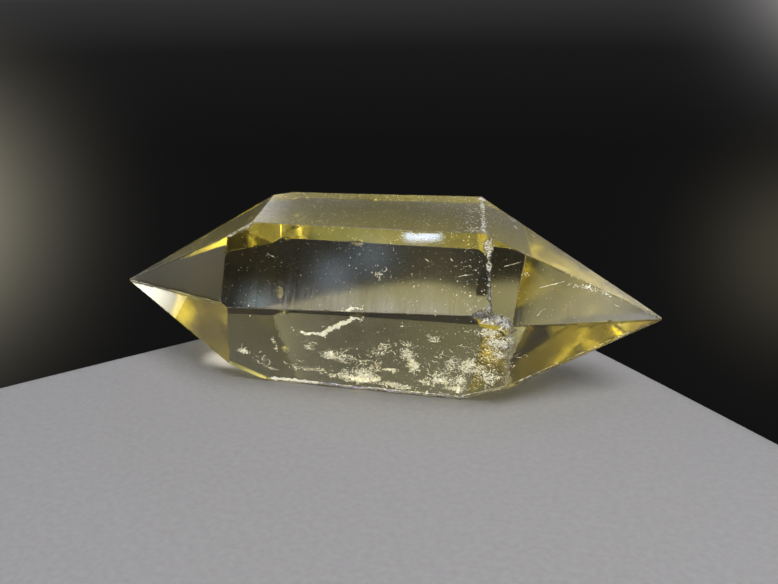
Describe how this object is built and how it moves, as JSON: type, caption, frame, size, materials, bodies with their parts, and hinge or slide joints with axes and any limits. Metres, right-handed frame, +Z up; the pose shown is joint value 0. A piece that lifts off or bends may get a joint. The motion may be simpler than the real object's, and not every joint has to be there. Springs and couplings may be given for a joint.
{
  "type": "double terminated quartz point",
  "caption": "Clear pale yellow quartz crystal, a polished hexagonal prism with a six-sided point at each end, lying on one prism face.",
  "frame": {"origin": "on the resting face, under the middle of the crystal's box", "axes": "+X along the crystal to the tip whose upper front face is steeper, +Y away from the front, +Z up from the resting face"},
  "size_m": [0.0534, 0.0196, 0.0178],
  "materials": {
    "quartz": "polished clear pale yellow quartz with frosted chips, veils and wisps inside"
  },
  "bodies": {
    "root": {"quartz_point": "quartz"}
  },
  "joints": []
}
